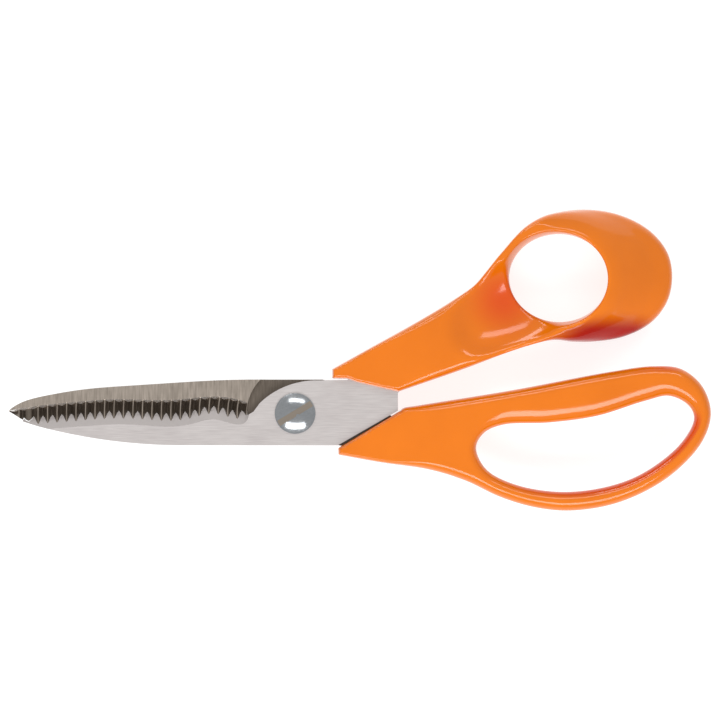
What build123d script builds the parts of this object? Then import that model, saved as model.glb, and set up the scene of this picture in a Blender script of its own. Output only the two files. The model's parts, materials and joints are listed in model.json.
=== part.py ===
from build123d import *
import math
import os

# Pinking shears lying on their back. X runs from the blade tips to the handles, Y from the
# finger side to the thumb side, and Z up out of the front face. Millimetres.
# Outlines are measured from the pivot axis, and finished pieces are moved to PIVOT.

# ---- overall and pivot
PIVOT = (-21.2, -17.46, 13.5)
BLADE_OUTER = 2.3          # outer face of each blade, from the mid-plane
HALF_GAP = 0.15            # inner face at the joint, from the mid-plane
LAND = 1.4                 # height of the raised land behind the flutes
JOINT_RADIUS = 15.85       # blades are ground flat inside this radius

# ---- pinking teeth: grooves turned about the pivot axis, so they mesh at every angle
TOOTH_PITCH = 3.1
TOOTH_COUNT = 24
FIRST_TOOTH = 17.4         # radius of the tooth nearest the pivot
TOOTH_HEIGHT = 0.9         # half the depth of the grooves
MESH_CLEARANCE = 0.05      # half the gap between the two fluted faces
SHOULDER_LEVEL = -0.4      # height of the arch shoulder, in tooth heights
FACET_SLOPE = 1.417        # run of the ground edge facet for each mm of thickness
LAND_SLOPE = 0.35          # run of the chamfer between land and flutes
RUNOUT_RADIUS = 87.15      # the last groove is shallow, so that the tip tooth stays joined

# ---- pivot hardware
HEAD_RADIUS = 6.65
HEAD_EDGE = 0.5
HEAD_DOME = 2.1
HEAD_SEAT = 0.02
SLOT_WIDTH = 2.0
SLOT_DEPTH = 1.4
SLOT_ANGLE = 31.3
STAKE_RADIUS = 0.5         # punched nib on the slot's wall that stops the screw turning
SHANK_RADIUS = 3.0
RUNNING_CLEARANCE = 0.05
FIXED_CLEARANCE = 0.02
THREAD_RADIUS = 2.5
WASHER_RADIUS = 6.0
SPRING_RADIUS = 5.6
SPRING_THICKNESS = 0.8
NUT_ACROSS_FLATS = 9.0
NUT_THICKNESS = 3.2
THREAD_PROUD = 0.6

# ---- handles
HANDLE_HALF = 5.2          # half thickness of both handle arms
EDGE_ROUND = 1.5
CORNER_ROUND = 1.0
FRONT_RIM = 6.5            # top of the thumb loop's front rim
BACK_RIM = -13.5           # underside of the thumb loop's flared rim
THROAT = -2.0              # narrowest level of the thumb loop
TANG_HOLE = 2.2

ROOMY = 30.0               # oversize for cutting bodies


def profile(*runs):
    """Face bounded by runs of points: ("line", points) or ("curve", points)."""
    edges = []
    for kind, points in runs:
        edges += Polyline(*points).edges() if kind == "line" else Spline(*points).edges()
    return Face(Wire(edges))


def slab(face, low, high):
    """Straight prism of a flat face between two heights."""
    return Solid.extrude(face.moved(Location((0, 0, low))), Vector(0, 0, high - low))


def slanted(face, low, high, run):
    """Prism that leans along Y by run for each mm of height, true at height 0."""
    start = Location((0, run * low, low))
    return Solid.extrude(face.moved(start), Vector(0, run * (high - low), high - low))


def flute_profile(lift):
    """Half section of the meshing grooves from the joint to the tip, raised by lift."""
    arch = ((0.05, 1.0), (0.3, SHOULDER_LEVEL), (0.5, -1.0), (0.7, SHOULDER_LEVEL), (0.95, 1.0))
    points = [(JOINT_RADIUS, lift + TOOTH_HEIGHT)]
    for tooth in range(TOOTH_COUNT + 2):
        start = FIRST_TOOTH + (tooth - 0.5) * TOOTH_PITCH
        for share, level in arch:
            radius = start + share * TOOTH_PITCH
            if abs(radius - RUNOUT_RADIUS) < 0.1 * TOOTH_PITCH:
                level = 0.0
            points.append((radius, lift + level * TOOTH_HEIGHT))
    return points


def flute_tool(side):
    """Body that fills everything beyond one blade's fluted face: side 1 front, -1 rear."""
    teeth = flute_profile(side * MESH_CLEARANCE)
    last = teeth[-1][0]
    section = teeth + [(last, -side * ROOMY), (JOINT_RADIUS, -side * ROOMY)]
    wire = Polyline(*[(-radius, 0, z) for radius, z in section], close=True)
    turned = Face(Wire(wire.edges())).rotate(Axis.Z, -30)
    return Solid.revolve(turned, 60, Axis.Z)


def blade(outline, edge_line, land_line, side, holes):
    """One blade. side is 1 for the front blade, whose outer face is up, and -1 for the rear."""
    away = side * ROOMY
    if side > 0:
        body = slab(outline, -LAND, BLADE_OUTER)
    else:
        body = slab(outline, -BLADE_OUTER, LAND)
    beyond_edge = profile(("curve", edge_line), ("line", [edge_line[-1], (edge_line[-1][0], away),
                          (edge_line[0][0], away), edge_line[0]]))
    tip_level = -side * TOOTH_HEIGHT
    facet = slanted(beyond_edge, -4, 4, -FACET_SLOPE).moved(
        Location((0, FACET_SLOPE * tip_level, 0)))
    beyond_land = profile(("curve", land_line), ("line", [land_line[-1], (land_line[-1][0], away),
                          (land_line[0][0], away), land_line[0]]))
    meshing = slanted(beyond_land, -4, 4, LAND_SLOPE) & flute_tool(side)
    flat = Solid.make_cylinder(JOINT_RADIUS, ROOMY)
    flat += Solid.make_box(2 * ROOMY + JOINT_RADIUS, 4 * ROOMY, ROOMY).moved(
        Location((0, -2 * ROOMY, 0)))
    flat = flat.moved(Location((0, 0, HALF_GAP - ROOMY if side > 0 else -HALF_GAP)))
    body = body - facet - meshing - flat
    bore = SHANK_RADIUS + (RUNNING_CLEARANCE if side > 0 else FIXED_CLEARANCE)
    body -= Solid.make_cylinder(bore, 2 * ROOMY).moved(Location((0, 0, -ROOMY)))
    for x, y in holes:
        body -= Solid.make_cylinder(TANG_HOLE, 2 * ROOMY).moved(Location((x, y, -ROOMY)))
    return body


# ---- blade outlines
FRONT_EDGE = [(-90.6, -2.1), (-88.7, -1.6), (-76.3, -0.2), (-63.9, 0.75), (-51.6, 0.85),
              (-39.1, 0.3), (-32.9, 1.35), (-26.7, 2.6), (-20.5, 1.2), (-17.6, 1.0), (-15.0, 5.0)]
REAR_EDGE = [(-95.0, -6.5), (-88.0, -3.9), (-75.0, -4.0), (-60.0, -3.3), (-40.0, -3.4),
             (-27.0, -1.7), (-18.0, -4.2), (-15.0, -9.0)]
FRONT_LAND = [(-96.0, -7.0), (-75.0, -5.2), (-60.0, -4.6), (-40.0, -4.7), (-27.0, -3.4),
              (-14.0, -6.2)]
REAR_LAND = [(-96.0, 0.0), (-83.8, 2.0), (-71.4, 3.3), (-59.7, 4.1), (-39.1, 4.0),
             (-26.3, 5.0), (-14.0, 2.4)]
FRONT_HOLES = [(37.0, 15.4), (46.0, 19.4)]
REAR_HOLES = [(30.0, -7.6), (38.0, -6.6), (46.0, -5.8)]
TANG_CORNER = (33.6, 0.9)
DIAGONAL_FOOT = (13.9, -10.45)


def front_outline():
    """Front blade: edge up, spine down, and a holed tang that runs into the thumb handle."""
    return profile(
        ("curve", [(-90.6, -2.1), (-85.8, -3.7), (-78.0, -5.7), (-62.3, -8.6), (-38.7, -10.4)]),
        ("line", [(-38.7, -10.4), DIAGONAL_FOOT, TANG_CORNER, (33.6, 6.7), (37.0, 10.2),
                  (53.0, 18.1), (51.0, 26.4), (27.0, 16.5), (17.0, 10.95), (7.8, 10.8)]),
        ("curve", [(7.8, 10.8), (-2.2, 9.2), (-8.1, 6.2), (-11.7, 3.2)]),
        ("line", [(-11.7, 3.2), (-13.6, 0.6), (-15.6, -0.6), (-15.6, 4.0), (-90.6, 4.0),
                  (-90.6, -2.1)]))


def rear_outline():
    """Rear blade: spine up, edge down, and a holed tang that runs into the finger handle."""
    return profile(
        ("curve", [(-93.8, 0.8), (-89.7, 3.5), (-81.9, 5.75), (-70.0, 7.75), (-50.5, 9.3),
                   (-27.0, 10.75), (-8.0, 11.05)]),
        ("line", [(-8.0, 11.05), (9.0, 11.05), (13.6, 9.5), (33.0, -1.7), (50.0, 0.0),
                  (52.5, -5.0), (48.0, -11.5), (30.0, -12.7), (13.9, -10.4), (7.8, -10.3)]),
        ("curve", [(7.8, -10.3), (-2.2, -9.3), (-8.1, -7.3), (-12.0, -5.2)]),
        ("line", [(-12.0, -5.2), (-15.6, -3.8), (-15.6, -7.0), (-80.0, -4.6), (-87.1, -3.35),
                  (-93.8, 0.8)]))


def front_blade():
    return blade(front_outline(), FRONT_EDGE, FRONT_LAND, 1, FRONT_HOLES)


def rear_blade():
    return blade(rear_outline(), REAR_EDGE, REAR_LAND, -1, REAR_HOLES)


def pivot_screw():
    """Polished dome-headed screw: slotted head, bearing shank and a smaller threaded end."""
    seat = BLADE_OUTER + HEAD_SEAT
    rim = seat + HEAD_EDGE
    shank_end = -BLADE_OUTER + 0.1
    screw_end = -BLADE_OUTER - SPRING_THICKNESS - NUT_THICKNESS - THREAD_PROUD
    half = Wire(Line((0, 0, screw_end), (THREAD_RADIUS, 0, screw_end)).edges()
                + Line((THREAD_RADIUS, 0, screw_end), (THREAD_RADIUS, 0, shank_end)).edges()
                + Line((THREAD_RADIUS, 0, shank_end), (SHANK_RADIUS, 0, shank_end)).edges()
                + Line((SHANK_RADIUS, 0, shank_end), (SHANK_RADIUS, 0, seat)).edges()
                + Line((SHANK_RADIUS, 0, seat), (HEAD_RADIUS, 0, seat)).edges()
                + Line((HEAD_RADIUS, 0, seat), (HEAD_RADIUS, 0, rim)).edges()
                + ThreePointArc((HEAD_RADIUS, 0, rim),
                                (0.55 * HEAD_RADIUS, 0, rim + 0.72 * HEAD_DOME),
                                (0, 0, rim + HEAD_DOME)).edges()
                + Line((0, 0, rim + HEAD_DOME), (0, 0, screw_end)).edges())
    screw = Solid.revolve(Face(half), 360, Axis.Z)
    floor = rim + HEAD_DOME - SLOT_DEPTH - 0.5
    slot = Solid.make_box(4 * HEAD_RADIUS, SLOT_WIDTH, ROOMY).moved(
        Location((-2 * HEAD_RADIUS, -SLOT_WIDTH / 2, floor)))
    nib = Solid.make_cylinder(STAKE_RADIUS, SLOT_DEPTH).moved(
        Location((0.4, -SLOT_WIDTH / 2, floor - 0.1)))
    return screw - slot.rotate(Axis.Z, SLOT_ANGLE) + nib.rotate(Axis.Z, SLOT_ANGLE)


def ring(outer, inner, low, high):
    """Flat ring about the pivot axis."""
    disc = Solid.make_cylinder(outer, high - low).moved(Location((0, 0, low)))
    return disc - Solid.make_cylinder(inner, ROOMY).moved(Location((0, 0, -ROOMY / 2)))


def bearing_washer():
    return ring(WASHER_RADIUS, SHANK_RADIUS + RUNNING_CLEARANCE, -HALF_GAP, HALF_GAP - 0.01)


def spring_washer():
    return ring(SPRING_RADIUS, THREAD_RADIUS + RUNNING_CLEARANCE,
                -BLADE_OUTER - SPRING_THICKNESS, -BLADE_OUTER)


def lock_nut():
    """Hexagon nut with its outer corners turned off."""
    top = -BLADE_OUTER - SPRING_THICKNESS
    hexagon = RegularPolygon(NUT_ACROSS_FLATS / math.sqrt(3), 6).faces()[0]
    nut = slab(hexagon, top - NUT_THICKNESS, top)
    cone = Solid.make_cone(NUT_ACROSS_FLATS / 2, NUT_ACROSS_FLATS, NUT_ACROSS_FLATS / 2)
    nut = nut & cone.moved(Location((0, 0, top - NUT_THICKNESS)))
    bore = Solid.make_cylinder(THREAD_RADIUS + FIXED_CLEARANCE, ROOMY)
    return nut - bore.moved(Location((0, 0, top - NUT_THICKNESS - 1)))


def rounded(solid):
    """Round the upright corners of a flat moulding, then every edge of its two faces."""
    corners = [edge for edge in solid.edges()
               if abs(edge.length - 2 * HANDLE_HALF) < 0.01 and abs(edge.center().Z) < 0.01]
    solid = solid.fillet(CORNER_ROUND, corners)
    rims = [edge for edge in solid.edges() if abs(abs(edge.center().Z) - HANDLE_HALF) < 0.01]
    return solid.fillet(EDGE_ROUND, rims)


def finger_handle(tang):
    """Long finger loop and its arm, moulded round the rear tang."""
    outer = profile(
        ("line", [(34.2, 0.35), (14.2, -11.2), (14.2, -13.5)]),
        ("curve", [(14.2, -13.5), (28.2, -16.1), (43.9, -18.4), (55.6, -22.0), (67.4, -27.6),
                   (79.2, -31.2), (91.0, -31.9), (106.6, -28.9), (122.3, -20.7), (133.1, -9.3),
                   (136.2, 0.2), (133.1, 9.0), (126.2, 14.6), (117.0, 15.5), (102.7, 13.6),
                   (71.4, 7.7), (40.0, 2.5), (34.2, 0.35)]))
    opening = Face(Wire(Spline((59.2, -11.1), (61.8, -6.4), (68.0, -3.7), (83.1, -3.0),
                               (98.8, -0.8), (114.5, 4.1), (122.3, 5.7), (128.6, 2.6),
                               (130.4, -1.6), (126.2, -9.6), (114.5, -19.0), (102.7, -23.7),
                               (87.0, -25.6), (71.4, -23.0), (62.3, -18.0),
                               periodic=True).edges()))
    body = slab(outer, -HANDLE_HALF, HANDLE_HALF) - slab(opening, -ROOMY, ROOMY)
    return rounded(body) - tang


def level_ellipse(x, y, z, across, along):
    """Elliptical section of the thumb loop at one height."""
    return Ellipse(across, along).faces()[0].moved(Location((x, y, z)))


def thumb_handle(tang):
    """Arm and slanted thumb loop: the loop leans back and flares into a wide rear rim."""
    arm = profile(
        ("line", [(20.0, 10.0), (17.0, 11.1), (11.8, 11.3), (11.8, 14.6)]),
        ("curve", [(11.8, 14.6), (16.5, 16.9), (28.2, 23.8), (43.9, 33.0), (55.7, 40.2),
                   (63.5, 47.6), (71.4, 57.2), (79.2, 63.3), (91.0, 66.6)]),
        ("line", [(91.0, 66.6), (98.0, 60.0), (98.0, 28.0), (84.7, 24.0)]),
        ("curve", [(84.7, 24.0), (71.4, 20.1), (55.7, 14.3), (33.6, 6.75), (20.0, 10.0)]))
    body = slab(arm, -HANDLE_HALF, HANDLE_HALF)
    skin = Solid.make_loft([level_ellipse(94.7, 44.7, BACK_RIM, 29.2, 22.2).outer_wire(),
                            level_ellipse(79.9, 42.7, FRONT_RIM, 23.3, 18.6).outer_wire()])
    bore = Solid.make_loft([level_ellipse(94.9, 44.7, BACK_RIM - 1.5, 25.2, 19.0).outer_wire(),
                            level_ellipse(86.7, 44.3, THROAT, 17.0, 14.4).outer_wire(),
                            level_ellipse(80.8, 43.0, FRONT_RIM + 1.5, 21.6, 16.6).outer_wire()])
    return (body + skin) - bore - tang


def moulded_tang(outline, low, high, holes):
    """Blade blank as the handle moulds round it, with its holes left for the plastic."""
    blank = slab(outline, low, high)
    for x, y in holes:
        blank -= Solid.make_cylinder(TANG_HOLE, 2 * ROOMY).moved(Location((x, y, -ROOMY)))
    return blank


def main():
    front_tang = moulded_tang(front_outline(), HALF_GAP, BLADE_OUTER, FRONT_HOLES)
    rear_tang = moulded_tang(rear_outline(), -BLADE_OUTER, -HALF_GAP, REAR_HOLES)
    nodes = {
        "front_blade": front_blade(),
        "rear_blade": rear_blade(),
        "thumb_handle": thumb_handle(front_tang),
        "finger_handle": finger_handle(rear_tang),
        "pivot_screw": pivot_screw(),
        "bearing_washer": bearing_washer(),
        "spring_washer": spring_washer(),
        "lock_nut": lock_nut(),
    }
    os.makedirs("parts", exist_ok=True)
    for name, solid in nodes.items():
        placed = solid.moved(Location(PIVOT))
        placed.label = name
        export_step(placed, f"parts/{name}.step")


main()
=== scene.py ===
import json
import math

import bpy
import numpy as np
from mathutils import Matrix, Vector


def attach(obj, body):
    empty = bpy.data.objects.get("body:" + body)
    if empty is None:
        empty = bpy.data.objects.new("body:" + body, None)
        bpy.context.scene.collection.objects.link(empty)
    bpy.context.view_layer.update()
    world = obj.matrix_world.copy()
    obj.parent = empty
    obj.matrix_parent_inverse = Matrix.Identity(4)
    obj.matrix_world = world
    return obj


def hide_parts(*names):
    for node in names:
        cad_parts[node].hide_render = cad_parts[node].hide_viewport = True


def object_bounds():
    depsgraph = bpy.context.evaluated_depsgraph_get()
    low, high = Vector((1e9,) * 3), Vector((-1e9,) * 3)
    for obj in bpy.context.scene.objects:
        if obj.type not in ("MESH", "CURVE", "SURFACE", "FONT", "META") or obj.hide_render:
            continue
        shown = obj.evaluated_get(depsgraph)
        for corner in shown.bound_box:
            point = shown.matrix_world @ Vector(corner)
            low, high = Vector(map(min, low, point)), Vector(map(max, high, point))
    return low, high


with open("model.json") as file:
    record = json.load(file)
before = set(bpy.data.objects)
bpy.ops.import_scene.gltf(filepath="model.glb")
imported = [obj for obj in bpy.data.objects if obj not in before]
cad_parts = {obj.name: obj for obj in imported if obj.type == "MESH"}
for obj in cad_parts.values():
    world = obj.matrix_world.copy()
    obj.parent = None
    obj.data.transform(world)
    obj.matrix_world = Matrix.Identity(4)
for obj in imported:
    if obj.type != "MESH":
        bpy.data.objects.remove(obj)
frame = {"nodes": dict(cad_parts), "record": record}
cad_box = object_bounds()

MM = 0.001

# ---------------------------------------------------------------- where things are
pivot_joint = next(j for j in frame["record"]["behaviour"]["joints"] if j["name"] == "blade_pivot")
PIVOT = np.array(pivot_joint["pos_m"]) / MM      # millimetres, as are all outlines below
HANDLE_HALF = 5.2                                # half thickness of the handle arms
FRONT_RIM = 6.4                                  # top of the thumb loop
BACK_RIM = -13.4                                 # underside of the thumb loop's flare
SLOT_FLOOR = 3.1                                 # just above the floor of the screw's slot
VOXEL = 0.45                                     # cell of the grid that the handles are meshed on

# ---------------------------------------------------------------- how the handles are rounded
EDGE_POWER = 2.2                                 # higher is squarer at the bars' edges
FACE_POWER = 2.6                                 # higher is flatter on the front and back faces
ROUND_SCALE = 3.0                                # turns a rounded form into a rough distance
TINY = 1e-9
THUMB_ARM_END = 82.0                             # the arm fades into the thumb loop here

# ---------------------------------------------------------------- painted shade on the orange moulding
# painted shade: deep red mixed into the underside of the thumb loop's flare
FLARE_SHADE_RED = (0.32, 0.014, 0.009)
# painted shade: deeper orange mixed into the scoop around its floor
SCOOP_SHADE_ORANGE = (0.56, 0.062, 0.002)
# painted shade: deeper orange on the finger loop's inner walls at its far lower end
WALL_SHADE_ORANGE = (0.58, 0.060, 0.003)
# centre of the painted shade under the flare, mm from the pivot
FLARE_SHADE_CENTRE = (99.0, 24.0, -8.0)
# centre of the painted shade in the scoop, mm from the pivot
SCOOP_SHADE_CENTRE = (68.5, 37.0, 0.0)
SHADED_WALL_FACING = (-0.7, 0.7, 0)                     # inner walls at the finger loop's far lower end
SHADED_WALL_SIDE = (0.5, -0.87, 0)                      # direction towards that end

# ---------------------------------------------------------------- view
VIEW_MARGIN = 720 / 704                          # width of the view against the object's
CAMERA_LENS = 420                                # long, so that height hardly shifts the outline
SENSOR_WIDTH = 36
FOCUS_DEPTH = 0.004                              # level below the top that the width is set at

# Sockets of a Mix node that mixes colours
MIX_SHARE, MIX_A, MIX_B, MIX_RESULT = 0, 6, 7, 2


# ---------------------------------------------------------------- flat outlines
def curve_through(points, closed=False, per_span=10):
    """Points on a smooth centripetal curve through a few given points."""
    pts = np.array(points, float)
    if closed:
        pts = np.vstack([pts[-1], pts, pts[0], pts[1]])
    else:
        pts = np.vstack([2 * pts[0] - pts[1], pts, 2 * pts[-1] - pts[-2]])
    gaps = np.sqrt(np.linalg.norm(np.diff(pts, axis=0), axis=1)) + 1e-9
    knots = np.concatenate([[0], np.cumsum(gaps)])
    out = []
    for i in range(1, len(pts) - 2):
        t = np.linspace(knots[i], knots[i + 1], per_span, endpoint=False)[:, None]
        k0, k1, k2, k3 = knots[i - 1:i + 3]
        a = (k1 - t) / (k1 - k0) * pts[i - 1] + (t - k0) / (k1 - k0) * pts[i]
        b = (k2 - t) / (k2 - k1) * pts[i] + (t - k1) / (k2 - k1) * pts[i + 1]
        c = (k3 - t) / (k3 - k2) * pts[i + 1] + (t - k2) / (k3 - k2) * pts[i + 2]
        ab = (k2 - t) / (k2 - k0) * a + (t - k0) / (k2 - k0) * b
        bc = (k3 - t) / (k3 - k1) * b + (t - k1) / (k3 - k1) * c
        out.append((k2 - t) / (k2 - k1) * ab + (t - k1) / (k2 - k1) * bc)
    if not closed:
        out.append(pts[-2][None])
    return np.vstack(out)


def inside_distance(outline, x, y):
    """Signed distance to a closed outline, positive inside."""
    following = np.roll(outline, -1, axis=0)
    best = np.full(x.shape, 1e9)
    within = np.zeros(x.shape, bool)
    for (ax, ay), (bx, by) in zip(outline, following):
        ex, ey = bx - ax, by - ay
        length = ex * ex + ey * ey
        if length < 1e-12:
            continue
        share = np.clip(((x - ax) * ex + (y - ay) * ey) / length, 0, 1)
        best = np.minimum(best, (x - ax - share * ex) ** 2 + (y - ay - share * ey) ** 2)
        if ay != by:
            crosses = ((ay > y) != (by > y)) & (x < (y - ay) / (by - ay) * ex + ax)
            within ^= crosses
    distance = np.sqrt(best)
    return np.where(within, distance, -distance)


def ease(value, low, high):
    """Smooth step from 0 at low to 1 at high."""
    share = np.clip((value - low) / (high - low), 0, 1)
    return share * share * (3 - 2 * share)


def blend_min(a, b, radius):
    """Union of two distance fields with a soft fillet."""
    mix = np.clip(0.5 + 0.5 * (b - a) / radius, 0, 1)
    return b + (a - b) * mix - radius * mix * (1 - mix)


def blend_max(a, b, radius):
    """Overlap of two distance fields with a soft edge."""
    return -blend_min(-a, -b, radius)


# ---------------------------------------------------------------- shapes as distance fields
FINGER_OUTER = np.vstack([
    [(14.0, -11.3), (14.1, -13.5)],
    curve_through([(14.3, -13.6), (28.2, -16.1), (43.9, -18.4), (55.6, -22.0), (67.4, -27.5),
                   (79.2, -30.9), (91.0, -31.8), (106.6, -28.9), (122.3, -20.7), (133.1, -9.3),
                   (136.0, 0.2), (133.1, 9.0), (126.2, 14.6), (117.0, 15.5), (102.7, 13.6),
                   (71.4, 7.7), (40.0, 2.6), (35.4, 1.8), (34.3, 0.9)])])
FINGER_OPENING = curve_through([(59.2, -11.1), (61.8, -6.4), (68.0, -3.7), (83.1, -3.0),
                                (98.8, -0.8), (114.5, 4.1), (122.3, 5.7), (128.6, 2.6),
                                (130.4, -1.6), (126.2, -9.6), (114.5, -19.0), (102.7, -23.7),
                                (87.0, -25.6), (71.4, -23.0), (62.3, -18.0)], closed=True)


def finger_field(x, y, z):
    """Finger loop: rounded bars, with a broad slope from the ridge down to the opening."""
    outer = inside_distance(FINGER_OUTER, x, y)
    opening = -inside_distance(FINGER_OPENING, x, y)
    outer_round = 1.1 + 2.4 * ease(x, 30, 50)
    slope = ease(y, -9, 0) * ease(x, 58, 74) * (1 - 0.7 * ease(x, 112, 128))
    inner_round = 3.4 + 6.6 * slope
    over = np.maximum(0, 1 - outer / outer_round)
    into = np.maximum(0, 1 - opening / inner_round)
    flat = np.abs(z) / HANDLE_HALF
    form = over ** EDGE_POWER + into ** EDGE_POWER + flat ** FACE_POWER
    return ROUND_SCALE * (np.sqrt(form + TINY) - 1)


def leaning_ellipse(x, y, z, levels):
    """Distance outside a stack of ellipses: levels of (z, centre x, centre y, a, b)."""
    table = np.array(levels)
    cx, cy, a, b = (np.interp(z, table[:, 0], table[:, k]) for k in range(1, 5))
    reach = np.sqrt(((x - cx) / a) ** 2 + ((y - cy) / b) ** 2)
    return (reach - 1) * np.sqrt(a * b)


def smooth_levels(levels):
    """The same stack with its sections joined by a smooth curve."""
    return curve_through(levels, per_span=24)


THUMB_OUTLINE = np.vstack([
    [(33.6, 6.75), (20.0, 10.0), (17.0, 11.1), (11.9, 11.2), (11.9, 14.6)],
    curve_through([(12.2, 14.8), (20.4, 19.4), (36.1, 28.2), (51.7, 37.6), (59.6, 43.3),
                   (67.4, 52.5), (75.3, 61.0), (83.6, 65.4), (94.9, 67.0), (106.6, 65.2),
                   (116.5, 60.0), (122.3, 52.8), (123.8, 45.0), (122.3, 36.7), (117.0, 29.6),
                   (108.0, 25.1), (98.0, 23.5), (91.0, 23.4), (84.7, 23.9), (71.4, 20.1),
                   (55.7, 14.2), (40.0, 8.8), (33.9, 6.8)])])
LOOP_SKIN = smooth_levels([(BACK_RIM - 2, 96.4, 44.8, 29.9, 22.8), (-9.0, 94.4, 44.8, 29.5, 22.7),
                           (-4.0, 90.0, 44.7, 26.8, 22.0), (1.5, 85.6, 44.3, 23.6, 20.9),
                           (FRONT_RIM, 82.2, 43.4, 20.9, 18.0),
                           (FRONT_RIM + 3, 79.0, 42.5, 18.5, 15.5)])
LOOP_BORE = smooth_levels([(BACK_RIM - 2, 95.6, 44.7, 26.6, 20.4), (-9.0, 92.4, 44.6, 22.6, 17.6),
                           (-2.0, 86.7, 44.3, 16.8, 14.4), (3.5, 85.3, 44.0, 16.9, 15.0),
                           (FRONT_RIM + 2, 84.4, 43.9, 17.7, 16.4)])
SCOOP_CENTRE = (71.5, 34.9, 15.0)
SCOOP_SIZE = (27.0, 17.4, 17.4)
SCOOP_TURN = math.radians(30)


def scoop_field(x, y, z):
    """Hollow pressed into the front of the arm where the thumb tip comes through."""
    dx, dy, dz = x - SCOOP_CENTRE[0], y - SCOOP_CENTRE[1], z - SCOOP_CENTRE[2]
    along = dx * math.cos(SCOOP_TURN) + dy * math.sin(SCOOP_TURN)
    across = -dx * math.sin(SCOOP_TURN) + dy * math.cos(SCOOP_TURN)
    reach = np.sqrt((along / SCOOP_SIZE[0]) ** 2 + (across / SCOOP_SIZE[1]) ** 2
                    + (dz / SCOOP_SIZE[2]) ** 2)
    return (reach - 1) * SCOOP_SIZE[1]


def thumb_field(x, y, z):
    """Arm and leaning thumb loop, hollowed by the bore and the scoop."""
    outline = inside_distance(THUMB_OUTLINE, x, y)
    edge_round = 1.1 + 2.9 * ease(x, 26, 48)
    over = np.maximum(0, 1 - outline / edge_round)
    flat = np.abs(z) / HANDLE_HALF
    arm = ROUND_SCALE * (np.sqrt(over ** EDGE_POWER + flat ** FACE_POWER + TINY) - 1)
    arm = blend_max(arm, x - THUMB_ARM_END, 6.0)
    skin = leaning_ellipse(x, y, z, LOOP_SKIN)
    skin = blend_max(skin, z - FRONT_RIM, 4.0)
    skin = blend_max(skin, BACK_RIM - z, 1.2)
    body = blend_min(arm, skin, 5.0)
    body = blend_max(body, -outline, 1.6)
    body = blend_max(body, -scoop_field(x, y, z), 2.0)
    body = blend_max(body, -leaning_ellipse(x, y, z, LOOP_BORE), 1.2)
    return blend_max(body, z - FRONT_RIM, 0.6)


# ---------------------------------------------------------------- mesh from a distance field
def surface_net(field, low, high, step):
    """Quad mesh of the zero level of a field, one point in each cell that it crosses."""
    axes = [np.arange(low[k], high[k] + step, step) for k in range(3)]
    shape = tuple(len(a) for a in axes)
    values = np.empty(shape)
    gx, gy = np.meshgrid(axes[0], axes[1], indexing="ij")
    for k, z in enumerate(axes[2]):
        values[:, :, k] = field(gx, gy, np.full(gx.shape, z))
    cells = tuple(n - 1 for n in shape)
    total = np.zeros(cells + (3,))
    count = np.zeros(cells)
    corners = [(i, j, k) for i in (0, 1) for j in (0, 1) for k in (0, 1)]

    def corner(c):
        return values[c[0]:c[0] + cells[0], c[1]:c[1] + cells[1], c[2]:c[2] + cells[2]]

    for c in corners:
        for axis in range(3):
            if c[axis]:
                continue
            other = tuple(v + (1 if n == axis else 0) for n, v in enumerate(c))
            va, vb = corner(c), corner(other)
            cross = (va < 0) != (vb < 0)
            share = np.where(cross, va / np.where(cross, va - vb, 1), 0)
            for n in range(3):
                total[..., n] += np.where(cross, c[n] + (share if n == axis else 0), 0)
            count += cross
    used = count > 0
    ids = -np.ones(cells, int)
    ids[used] = np.arange(used.sum())
    base = np.argwhere(used)
    verts = (base + total[used] / count[used][:, None]) * step + np.array([a[0] for a in axes])
    faces = []
    for axis in range(3):
        u, v = (axis + 1) % 3, (axis + 2) % 3
        first = [slice(1, -1)] * 3
        first[axis] = slice(0, -1)
        second = list(first)
        second[axis] = slice(1, None)
        va, vb = values[tuple(first)], values[tuple(second)]
        hits = np.argwhere((va < 0) != (vb < 0))
        flip = va[tuple(hits.T)] >= 0
        at = hits.copy()
        at[:, u] += 1
        at[:, v] += 1

        def cell(du, dv):
            shifted = at.copy()
            shifted[:, u] -= du
            shifted[:, v] -= dv
            return ids[tuple(shifted.T)]

        quad = np.stack([cell(0, 0), cell(1, 0), cell(1, 1), cell(0, 1)], axis=1)
        quad[flip] = quad[flip][:, ::-1]
        faces.append(quad)
    return verts, np.vstack(faces)


def settle(field, verts, rounds=4):
    """Moves mesh points onto the zero level along the field's slope."""
    h = 0.02
    for _ in range(rounds):
        x, y, z = verts.T
        value = field(x, y, z)
        slope = np.stack([field(x + h, y, z) - value, field(x, y + h, z) - value,
                          field(x, y, z + h) - value], axis=1) / h
        step = value[:, None] * slope / np.maximum((slope ** 2).sum(1), 0.05)[:, None]
        verts = verts - np.clip(step, -0.4, 0.4)
    return verts


def moulding(name, field, low, high):
    """A moulded handle as one closed smooth mesh in the shared frame."""
    verts, faces = surface_net(field, low, high, VOXEL)
    verts = settle(field, verts)
    mesh = bpy.data.meshes.new(name)
    mesh.from_pydata(((verts + PIVOT) * MM).tolist(), [], faces.tolist())
    mesh.validate()
    mesh.polygons.foreach_set("use_smooth", [True] * len(mesh.polygons))
    mesh.update()
    obj = bpy.data.objects.new(name, mesh)
    bpy.context.scene.collection.objects.link(obj)
    return obj


# ---------------------------------------------------------------- materials
def new_material(name):
    """A material with its nodes, its links and its shader."""
    material = bpy.data.materials.new(name)
    material.use_nodes = True
    nodes = material.node_tree.nodes
    return material, nodes, material.node_tree.links, nodes["Principled BSDF"]


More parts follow.
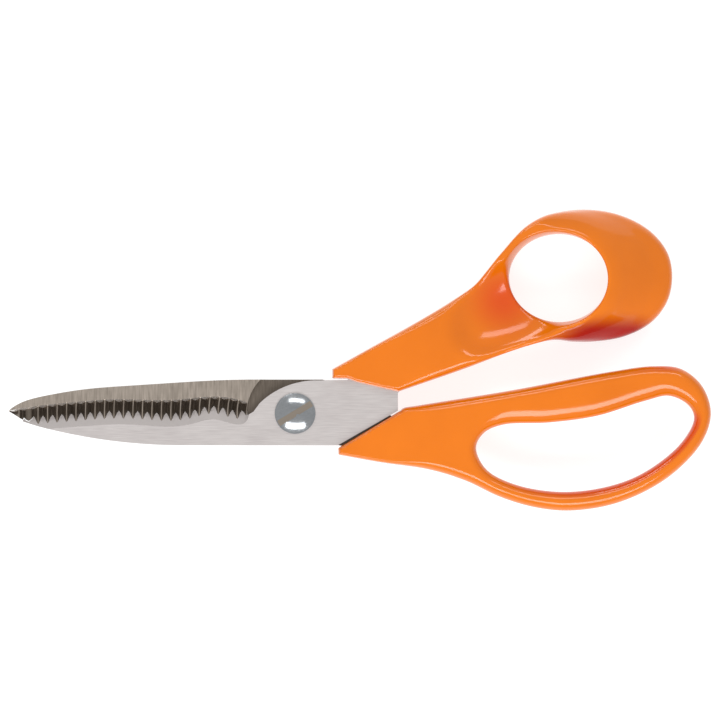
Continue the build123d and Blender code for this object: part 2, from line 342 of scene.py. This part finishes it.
def stretched_noise(nodes, links, stretch, scale, detail=4.0):
    """Noise in object space, drawn out along the axes with small stretch values."""
    place = nodes.new("ShaderNodeTexCoord")
    mapping = nodes.new("ShaderNodeMapping")
    mapping.inputs["Scale"].default_value = stretch
    noise = nodes.new("ShaderNodeTexNoise")
    noise.inputs["Scale"].default_value = scale
    noise.inputs["Detail"].default_value = detail
    links.new(place.outputs["Object"], mapping.inputs["Vector"])
    links.new(mapping.outputs["Vector"], noise.inputs["Vector"])
    return noise


def ramp(nodes, links, source, stops):
    """Colours from a list of (position, colour) stops."""
    node = nodes.new("ShaderNodeValToRGB")
    node.color_ramp.elements[0].position = stops[0][0]
    node.color_ramp.elements[0].color = (*stops[0][1], 1)
    node.color_ramp.elements[1].position = stops[-1][0]
    node.color_ramp.elements[1].color = (*stops[-1][1], 1)
    for position, colour in stops[1:-1]:
        element = node.color_ramp.elements.new(position)
        element.color = (*colour, 1)
    links.new(source, node.inputs["Fac"])
    return node


def add_bump(nodes, links, shader, height, strength, distance):
    """Fine relief on the shader."""
    bump = nodes.new("ShaderNodeBump")
    bump.inputs["Strength"].default_value = strength
    bump.inputs["Distance"].default_value = distance
    links.new(height, bump.inputs["Height"])
    links.new(bump.outputs["Normal"], shader.inputs["Normal"])


def spread(nodes, links, value, to_low, to_high, from_low=0.0, from_high=1.0):
    """Even change from to_low to to_high as the value goes from from_low to from_high."""
    node = nodes.new("ShaderNodeMapRange")
    node.inputs["From Min"].default_value = from_low
    node.inputs["From Max"].default_value = from_high
    node.inputs["To Min"].default_value = to_low
    node.inputs["To Max"].default_value = to_high
    links.new(value, node.inputs["Value"])
    return node.outputs["Result"]


def fade(nodes, links, value, start, end):
    """0 at start rising smoothly to 1 at end (either order)."""
    node = nodes.new("ShaderNodeMapRange")
    node.interpolation_type = "SMOOTHSTEP"
    node.inputs["From Min"].default_value = min(start, end)
    node.inputs["From Max"].default_value = max(start, end)
    node.inputs["To Min"].default_value = 0.0 if start < end else 1.0
    node.inputs["To Max"].default_value = 1.0 if start < end else 0.0
    links.new(value, node.inputs["Value"])
    return node.outputs["Result"]


def times(nodes, links, *values):
    """Product of several mask outputs."""
    result = values[0]
    for value in values[1:]:
        node = nodes.new("ShaderNodeMath")
        node.operation = "MULTIPLY"
        links.new(result, node.inputs[0])
        links.new(value, node.inputs[1])
        result = node.outputs[0]
    return result


def tinted(nodes, links, colour, mask, deep):
    """The colour turned towards deep where the mask is 1."""
    node = nodes.new("ShaderNodeMix")
    node.data_type = "RGBA"
    links.new(mask, node.inputs[MIX_SHARE])
    links.new(colour, node.inputs[MIX_A])
    node.inputs[MIX_B].default_value = (*deep, 1)
    return node.outputs[MIX_RESULT]


def placed(nodes, links):
    """Object position, its X, Y and Z, the surface normal in world space, and its X, Y and Z."""
    place = nodes.new("ShaderNodeTexCoord")
    where = nodes.new("ShaderNodeSeparateXYZ")
    links.new(place.outputs["Object"], where.inputs["Vector"])
    surface = nodes.new("ShaderNodeNewGeometry")
    facing = nodes.new("ShaderNodeSeparateXYZ")
    links.new(surface.outputs["Normal"], facing.inputs["Vector"])
    return place.outputs["Object"], where.outputs, surface.outputs["Normal"], facing.outputs


def along(nodes, links, vector, direction):
    """Length of a vector along a direction."""
    node = nodes.new("ShaderNodeVectorMath")
    node.operation = "DOT_PRODUCT"
    links.new(vector, node.inputs[0])
    node.inputs[1].default_value = direction
    return node.outputs["Value"]


def near(nodes, links, position, centre, inner, outer):
    """1 inside the inner radius about a point (mm from the pivot), 0 beyond the outer one."""
    node = nodes.new("ShaderNodeVectorMath")
    node.operation = "DISTANCE"
    links.new(position, node.inputs[0])
    node.inputs[1].default_value = [(c + p) * MM for c, p in zip(centre, PIVOT)]
    return fade(nodes, links, node.outputs["Value"], outer * MM, inner * MM)


def orange_plastic():
    """Glossy moulding, with painted shade: deep red under the thumb loop's flare, deeper orange in
    the scoop and on the finger loop's inner walls turned from the light.
    """
    material, nodes, links, shader = new_material("orange_plastic")
    blush = stretched_noise(nodes, links, (1, 1, 1), 45)
    tint = ramp(nodes, links, blush.outputs["Fac"], [(0.3, (0.61, 0.138, 0.001)),
                                                     (0.7, (0.67, 0.156, 0.002))])
    position, where, normal, facing = placed(nodes, links)
    # painted shade: deep red on faces turned down near the flare's underside, below the loop's
    # lower edge; the specular is lowered there too
    flare_shade_mask = times(nodes, links, fade(nodes, links, facing["Y"], -0.05, -0.45),
                        near(nodes, links, position, FLARE_SHADE_CENTRE, 12, 24),
                        fade(nodes, links, where["Y"], (34.0 + PIVOT[1]) * MM,
                             (27.0 + PIVOT[1]) * MM))
    colour = tinted(nodes, links, tint.outputs["Color"], flare_shade_mask, FLARE_SHADE_RED)
    # painted shade: deeper orange towards the floor of the scoop
    scoop_shade_mask = near(nodes, links, position, SCOOP_SHADE_CENTRE, 1, 15)
    colour = tinted(nodes, links, colour, scoop_shade_mask, SCOOP_SHADE_ORANGE)
    # painted shade: deeper orange on inner walls facing into the finger loop at its far lower end
    turned_inwards = fade(nodes, links, along(nodes, links, normal, SHADED_WALL_FACING), 0.15, 0.75)
    at_far_end = fade(nodes, links, along(nodes, links, position, SHADED_WALL_SIDE), 46 * MM, 54 * MM)
    wall_shade_mask = times(nodes, links, turned_inwards, at_far_end)
    colour = tinted(nodes, links, colour, wall_shade_mask, WALL_SHADE_ORANGE)
    links.new(colour, shader.inputs["Base Color"])
    haze = stretched_noise(nodes, links, (1, 1, 1), 160, 3)
    gloss = ramp(nodes, links, haze.outputs["Fac"], [(0.3, (0.09,) * 3), (0.7, (0.14,) * 3)])
    links.new(gloss.outputs["Color"], shader.inputs["Roughness"])
    links.new(spread(nodes, links, flare_shade_mask, 0.36, 0.06), shader.inputs["Specular IOR Level"])
    shader.inputs["Coat Weight"].default_value = 0.06
    shader.inputs["Coat Roughness"].default_value = 0.08
    add_bump(nodes, links, shader, haze.outputs["Fac"], 0.05, 0.0001)
    return material


def steel(name, dark, light, roughness, grain=(0.06, 1.0, 1.0), bump=0.12):
    """Ground steel with a fine grain, drawn along X unless grain says otherwise."""
    material, nodes, links, shader = new_material(name)
    shader.inputs["Metallic"].default_value = 1.0
    lines = stretched_noise(nodes, links, grain, 2600, 6)
    cloud = stretched_noise(nodes, links, (1, 2, 1), 90, 3)
    mix = nodes.new("ShaderNodeMix")
    mix.data_type = "FLOAT"
    mix.inputs[MIX_SHARE].default_value = 0.35
    links.new(lines.outputs["Fac"], mix.inputs[2])
    links.new(cloud.outputs["Fac"], mix.inputs[3])
    tint = ramp(nodes, links, mix.outputs[0], [(0.35, dark), (0.65, light)])
    links.new(tint.outputs["Color"], shader.inputs["Base Color"])
    rough = ramp(nodes, links, lines.outputs["Fac"], [(0.3, (roughness - 0.06,) * 3),
                                                      (0.7, (roughness + 0.08,) * 3)])
    links.new(rough.outputs["Color"], shader.inputs["Roughness"])
    add_bump(nodes, links, shader, lines.outputs["Fac"], bump, 0.00004)
    return material, nodes, links, shader, tint


def rear_steel():
    """Brown-grey ground land, painted darker than the front blade's steel as shade; painted shade
    darkens the flutes below it, and a painted highlight lies on the narrow bevel between them.
    """
    # painted shade: the brown-grey tint is set darker than the front blade's steel, standing in
    # for the darker light the tilted land catches
    material, nodes, links, shader, tint = steel("rear_steel", (0.30, 0.258, 0.218),
                                                 (0.41, 0.355, 0.305), 0.42, (1.0, 0.08, 1.0))
    _, where, _, facing = placed(nodes, links)
    # painted shade: faces lower than the land, the flutes and the recess by the pivot, are
    # darkened, most at the flute floors; the back face and the land keep the plain tint
    height = spread(nodes, links, where["Z"], 0.0, 1.0, (PIVOT[2] - 3.0) * MM,
                    (PIVOT[2] + 2.0) * MM)
    recess_shade = ramp(nodes, links, height,
                 [(0.16, (1, 1, 1)), (0.24, (0.34, 0.33, 0.32)), (0.74, (0.50, 0.48, 0.46)),
                  (0.80, (1, 1, 1)), (0.87, (1, 1, 1))])
    recess_shade_multiply = nodes.new("ShaderNodeMix")
    recess_shade_multiply.data_type = "RGBA"
    recess_shade_multiply.blend_type = "MULTIPLY"
    recess_shade_multiply.inputs[MIX_SHARE].default_value = 1.0
    links.new(tint.outputs["Color"], recess_shade_multiply.inputs[MIX_A])
    links.new(recess_shade.outputs["Color"], recess_shade_multiply.inputs[MIX_B])
    # painted highlight: faces turned down, the narrow bevel above the flutes, are painted near
    # white
    chamfer_highlight = spread(nodes, links, facing["Y"], 1.0, 0.0, -0.85, -0.7)
    links.new(tinted(nodes, links, recess_shade_multiply.outputs[MIX_RESULT], chamfer_highlight, (1.0, 0.97, 0.94)),
              shader.inputs["Base Color"])
    return material


def front_steel():
    """Light ground face. The facet along the teeth is rougher, or it would mirror the lights, and
    it is painted a darker grey as shade.
    """
    material, nodes, links, shader, tint = steel("front_steel", (0.60, 0.555, 0.545),
                                                 (0.72, 0.675, 0.66), 0.30)
    _, _, _, facing = placed(nodes, links)
    # painted shade: faces tilted off the flat, the facet along the teeth, are painted a darker
    # grey as well as made rougher
    facet = fade(nodes, links, facing["Z"], 0.995, 0.975)
    links.new(tinted(nodes, links, tint.outputs["Color"], facet, (0.55, 0.52, 0.51)),
              shader.inputs["Base Color"])
    links.new(spread(nodes, links, facet, 0.38, 0.85), shader.inputs["Roughness"])
    return material


def polished_steel():
    """Polished head, with the floor of its slot coloured brownish."""
    material, nodes, links, shader, tint = steel("polished_steel", (0.30, 0.315, 0.33),
                                                 (0.38, 0.395, 0.41), 0.16, (1, 1, 1), 0.02)
    _, where, _, facing = placed(nodes, links)
    floor_level = (PIVOT[2] + SLOT_FLOOR) * MM
    slot = times(nodes, links, fade(nodes, links, facing["Z"], 0.990, 0.998),
                 fade(nodes, links, where["Z"], floor_level + 0.3 * MM, floor_level))
    links.new(tinted(nodes, links, tint.outputs["Color"], slot, (0.38, 0.325, 0.27)),
              shader.inputs["Base Color"])
    return material


def plain_steel(name):
    """Even grey steel for the washers and the nut."""
    return steel(name, (0.42, 0.42, 0.43), (0.55, 0.55, 0.55), 0.34, (1, 1, 1), 0.08)[0]


def give(obj, material):
    """Puts one material on an object in place of any other."""
    obj.data.materials.clear()
    obj.data.materials.append(material)


# ---------------------------------------------------------------- pieces
orange = orange_plastic()
thumb = moulding("thumb_handle_moulding", thumb_field, (9.5, 4.5, -15.5), (126.5, 69.5, 8.5))
finger = moulding("finger_handle_moulding", finger_field, (12.0, -34.0, -7.0), (138.5, 18.0, 7.0))
for piece, node, body in ((thumb, "thumb_handle", "front_half"),
                          (finger, "finger_handle", "rear_half")):
    give(piece, orange)
    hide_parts(node)
    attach(piece, body)

give(frame["nodes"]["front_blade"], front_steel())
give(frame["nodes"]["rear_blade"], rear_steel())
give(frame["nodes"]["pivot_screw"], polished_steel())
give(frame["nodes"]["bearing_washer"], plain_steel("washer_steel"))
give(frame["nodes"]["spring_washer"], plain_steel("spring_steel"))
give(frame["nodes"]["lock_nut"], plain_steel("nut_steel"))


# ---------------------------------------------------------------- stage, light and camera
def floor():
    """Pale floor that gives off light, which keeps the background white."""
    mesh = bpy.data.meshes.new("floor")
    half = 3.0
    mesh.from_pydata([(-half, -half, 0), (half, -half, 0), (half, half, 0), (-half, half, 0)],
                     [], [(0, 1, 2, 3)])
    obj = bpy.data.objects.new("floor", mesh)
    bpy.context.scene.collection.objects.link(obj)
    obj.location.z = -0.0005
    material, _, _, shader = new_material("pale_floor")
    shader.inputs["Base Color"].default_value = (0.35, 0.35, 0.35, 1)
    shader.inputs["Roughness"].default_value = 0.8
    shader.inputs["Specular IOR Level"].default_value = 0.1
    shader.inputs["Emission Color"].default_value = (1, 1, 1, 1)
    shader.inputs["Emission Strength"].default_value = 0.8
    give(obj, material)


def softbox(name, location, target, size, power):
    """White rectangular light turned towards a point."""
    light = bpy.data.lights.new(name, "AREA")
    light.shape = "RECTANGLE"
    light.size, light.size_y = size
    light.energy = power
    obj = bpy.data.objects.new(name, light)
    obj.location = location
    obj.rotation_euler = (Vector(target) - Vector(location)).to_track_quat("-Z", "Y").to_euler()
    bpy.context.scene.collection.objects.link(obj)


def studio():
    """White surroundings and three softboxes."""
    bpy.context.scene.view_settings.view_transform = "Standard"
    world = bpy.data.worlds.new("studio")
    bpy.context.scene.world = world
    world.use_nodes = True
    backdrop = world.node_tree.nodes["Background"]
    backdrop.inputs["Color"].default_value = (1, 1, 1, 1)
    backdrop.inputs["Strength"].default_value = 0.70
    softbox("key", (0.0, -0.58, 0.62), (0.02, 0.0, 0.01), (0.9, 0.27), 6.0)
    softbox("rim", (-0.25, 0.75, 0.20), (0.06, 0.03, 0.01), (0.45, 0.12), 1.2)
    softbox("top", (0.05, 0.55, 0.60), (0.02, 0.0, 0.01), (0.7, 0.15), 1.8)


def camera():
    """Straight down on the part, which fills the width of the view."""
    low, high = (Vector(corner) for corner in cad_box)
    centre = (low + high) / 2
    view_width = (high.x - low.x) * VIEW_MARGIN
    data = bpy.data.cameras.new("camera")
    data.lens = CAMERA_LENS
    data.sensor_width = SENSOR_WIDTH
    data.dof.use_dof = False
    distance = view_width * data.lens / data.sensor_width
    obj = bpy.data.objects.new("camera", data)
    obj.location = (centre.x, centre.y, high.z - FOCUS_DEPTH + distance)
    obj.rotation_euler = (0, 0, 0)
    bpy.context.scene.collection.objects.link(obj)
    bpy.context.scene.camera = obj


floor()
studio()
camera()
